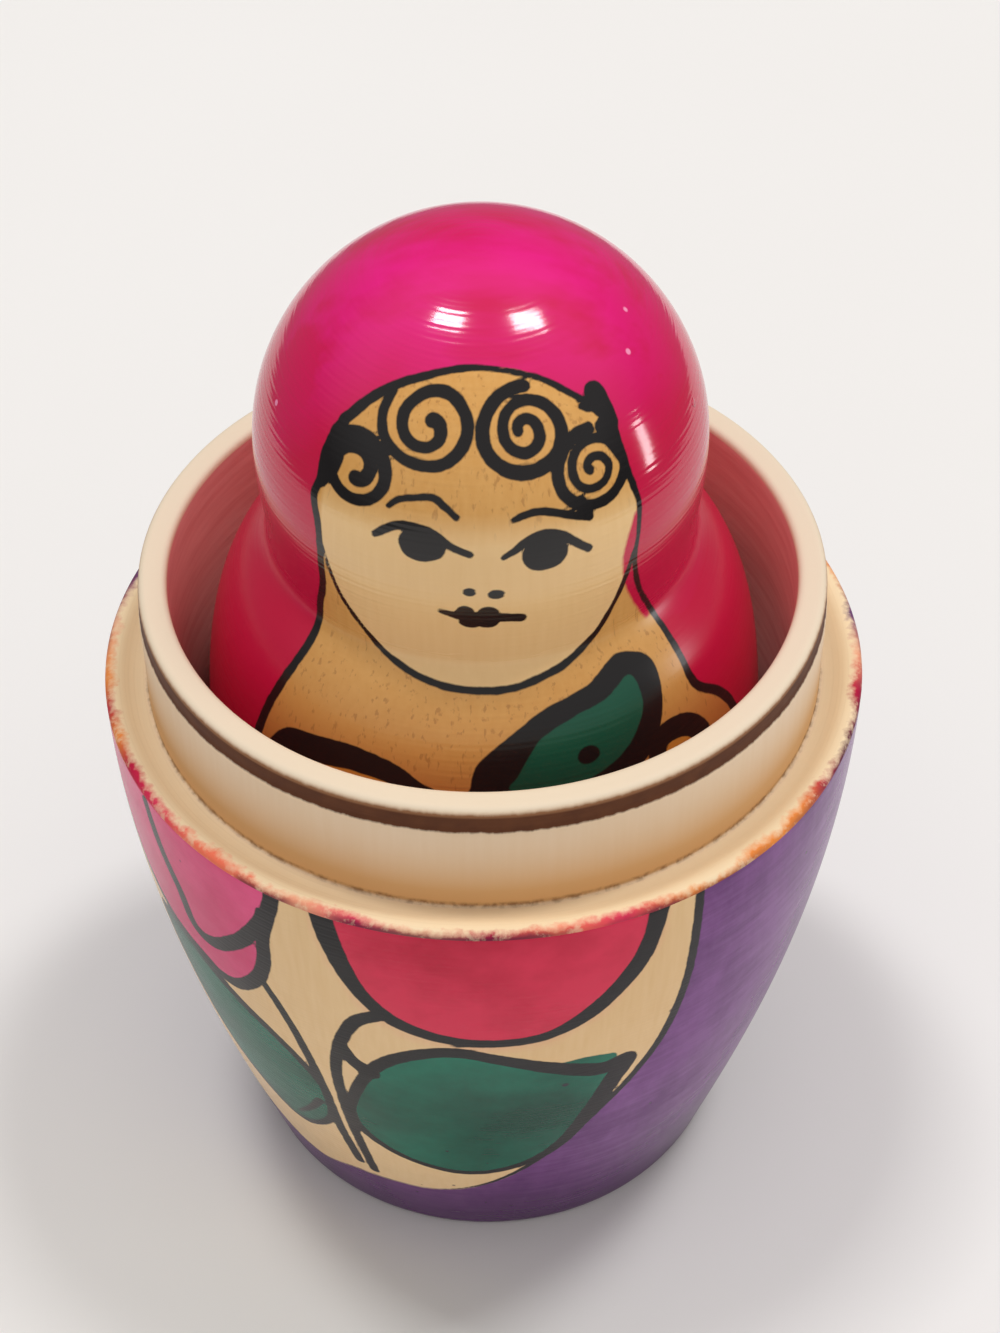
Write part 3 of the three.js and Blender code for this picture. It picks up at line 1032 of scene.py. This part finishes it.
def bare_collar(doll):
    """Bare wood of a ledge, collar and rim: painted shade and dirt in the corner, and the burnt line under
    the rim.
    """
    top = doll.base + doll.rim
    seam = doll.base + doll.seam
    fuzz = (noise(1700, (1, 1, 0.2), 3) - 0.5) * 0.18 * doll.burn
    tall = height()
    run = layer("run")
    wood = wood_colour(dye(244, 218, 188), dye(237, 207, 171))
    # Painted shade: the collar is painted warmer and darker towards its corner with the ledge.
    warm = ramp(run, doll.ledge - 0.2, doll.ledge + 0.1)
    warm = warm * fade(tall, seam + 0.1 * doll.rise, seam + 0.72 * doll.rise) ** 1.4
    wood = mix(0.9 * warm, wood, dye(219, 170, 113))
    ledge = fade(run, doll.ledge - 0.6, doll.ledge)
    wood = mix(0.6 * ledge, wood, dye(240, 220, 180))
    wood = mix(0.15 * ledge * ramp(lathe_ridges(0.45), 0.0, 1.0), wood, dye(206, 178, 132))
    rim = ramp(tall, top - 0.8 * doll.edge, top - 0.2 * doll.edge)
    wood = mix(0.8 * rim, wood, dye(229, 214, 191))
    shoulder = top - doll.edge
    scorch = ramp(tall + fuzz, shoulder - 1.08 * doll.burn, shoulder - 0.96 * doll.burn)
    scorch = scorch * fade(tall + fuzz, shoulder + 0.1 * doll.edge, shoulder + 0.8 * doll.edge)
    scorch = scorch * fade(run - doll.ledge - doll.rise, 0.2, 0.6)
    brown = mix(noise(600), dye(74, 34, 12), dye(108, 60, 28))
    brown = mix(0.6 * ramp(tall, shoulder - 0.15 * doll.burn, shoulder), brown, dye(176, 124, 84))
    colour = mix(scorch, wood, brown)
    corner = (run - doll.ledge + fuzz).math("ABSOLUTE")
    dirt = fade(corner, *DIRT) * (0.35 + 0.65 * ramp(noise(1500), 0.42, 0.6))
    colour = mix(0.7 * dirt, colour, dye(112, 70, 34))
    if doll.name == "outer":
        creep = (noise(150, (1, 1, 1), 6, 0.65) - 0.5) * 3.6 + (noise(1600, (1, 1, 1), 3) - 0.5) * 1.0
        fringe = fade(run + creep, *FRINGE_END)
        worn_off = ramp(noise(700, (1, 1, 1), 4, 0.7), 0.36, 0.46)
        dyes = Wire.add("ShaderNodeAttribute", {"attribute_name": "fringe"}, output="Color")
        outermost = fade(run + 0.4 * creep, *FRINGE_EDGE) * ramp(noise(80), 0.45, 0.55)
        dyes = mix(0.75 * outermost, dyes, dye(88, 14, 58))
        colour = mix(fringe * (0.55 + 0.45 * worn_off), colour, dyes)
    return {
        "Base Color": colour,
        "Roughness": 0.6,
        "IOR": 1.45,
        "Specular IOR Level": 0.25,
        "Normal": bumped(0.02 * noise(130, (1, 1, 25), 2)),
    }


def stained_hollow(near_rim, deep):
    """The inside of a half: stain that the lathe's rings take up unevenly."""
    rings = noise(90, (1, 1, 14), 4, 0.6)
    return {
        "Base Color": mix(ramp(rings, 0.35, 0.65), near_rim, deep),
        "Roughness": 0.6,
        "IOR": 1.45,
        "Normal": bumped(0.036 * rings),
    }


SCARVES = {
    "crimson_lacquer": (dye(206, 8, 60), dye(176, 4, 36)),
    "magenta_lacquer": (dye(232, 20, 128), dye(206, 4, 62)),
    "purple_lacquer": (dye(96, 44, 126), dye(70, 28, 96)),
}
BRICK = dye(250, 186, 176), dye(238, 164, 156)
LIME = dye(226, 200, 164), dye(210, 178, 138)

for node, piece in pieces.items():
    name = node.split("_")[0]
    doll = dolls[name]
    if name == "outer":
        paint = material("cup_dye", dyed_cup)
        inside = material("cup_hollow", lambda: stained_hollow(*BRICK))
    else:
        paint = material(node + "_lacquer", lambda: lacquered_doll(*SCARVES[SLOTS[node]]))
        inside = material(node + "_hollow", lambda: stained_hollow(*LIME))
    if node.endswith("lower_half"):
        bare = material(node + "_collar", lambda: bare_collar(doll))
    else:
        bare = inside
    for finish in (paint, bare, inside):
        piece.data.materials.append(finish)
print("materials:", len(bpy.data.materials))

# %% [markdown]
# ## The white sheet and the light
# The doll stands on a white sheet in a grey room that is lighter above and in front. Two lamps overhead and
# a little behind, left and right, throw two soft shadows that are darkest where they meet, in front of the
# foot. A low lamp on the right makes the broken glint down the scarf. The lacquer mirrors the sheet up to
# the doll's eyes and the darker room above them, so the sheet's edges were placed from where that border
# runs.

# %% Lay the sheet and hang the lamps
SHEET_CORNERS = [(-0.225, -0.6), (0.21, -0.6), (0.21, 0.26), (-0.225, 0.26)]
SHEET_DROP = 0.00005
LAMPS = {
    "overhead_left": dict(towards=(-0.22, 0.13, 0.97), away=2.6, size=(0.35, 0.6), power=19.5),
    "overhead_right": dict(towards=(0.34, 0.14, 0.93), away=2.6, size=(0.4, 0.6), power=21.5),
    "low_right": dict(towards=(0.998, -0.06, -0.02), away=2.0, size=(0.18, 0.7), power=5),
}
ROOM_LIGHT, ROOM_DARK = 0.58, 0.22
ROOM_FRONT = (0.0, -0.5, 0.85)
ROOM_EDGE = (0.1, 0.5)
ROOM_TINT = (1.0, 0.98, 0.96, 1.0)

sheet_mesh = bpy.data.meshes.new("white_sheet")
sheet_mesh.from_pydata([(*corner, -SHEET_DROP) for corner in SHEET_CORNERS], [], [(0, 1, 2, 3)])
sheet = placed("white_sheet", sheet_mesh)


def white_paper():
    """Matt white paper, a little uneven."""
    return {"Base Color": mix(noise(6), dye(240, 238, 236), dye(234, 231, 228)), "Roughness": 0.7}


sheet_mesh.materials.append(material("white_paper", white_paper))

for name, lamp in LAMPS.items():
    light = bpy.data.lights.new(name, "AREA")
    light.shape = "RECTANGLE"
    light.size, light.size_y = lamp["size"]
    light.energy = lamp["power"]
    hung = placed(name, light)
    towards = Vector(lamp["towards"]).normalized()
    hung.location = CAMERA_TARGET + lamp["away"] * towards
    hung.rotation_euler = (-towards).to_track_quat("-Z", "Y").to_euler()

world = bpy.data.worlds.new("room")
bpy.context.scene.world = world
world.use_nodes = True
Wire.tree = world.node_tree
look = Wire.add("ShaderNodeTexCoord", output="Generated")
facing = Wire.add("ShaderNodeVectorMath", {"operation": "DOT_PRODUCT"}, {0: look, 1: ROOM_FRONT}, "Value")
level = ROOM_DARK + (ROOM_LIGHT - ROOM_DARK) * ramp(facing, *ROOM_EDGE)
Wire.fill(world.node_tree.nodes["Background"], {"Color": ROOM_TINT, "Strength": level})
bpy.context.scene.view_settings.view_transform = "Standard"
print("lamps:", list(LAMPS))
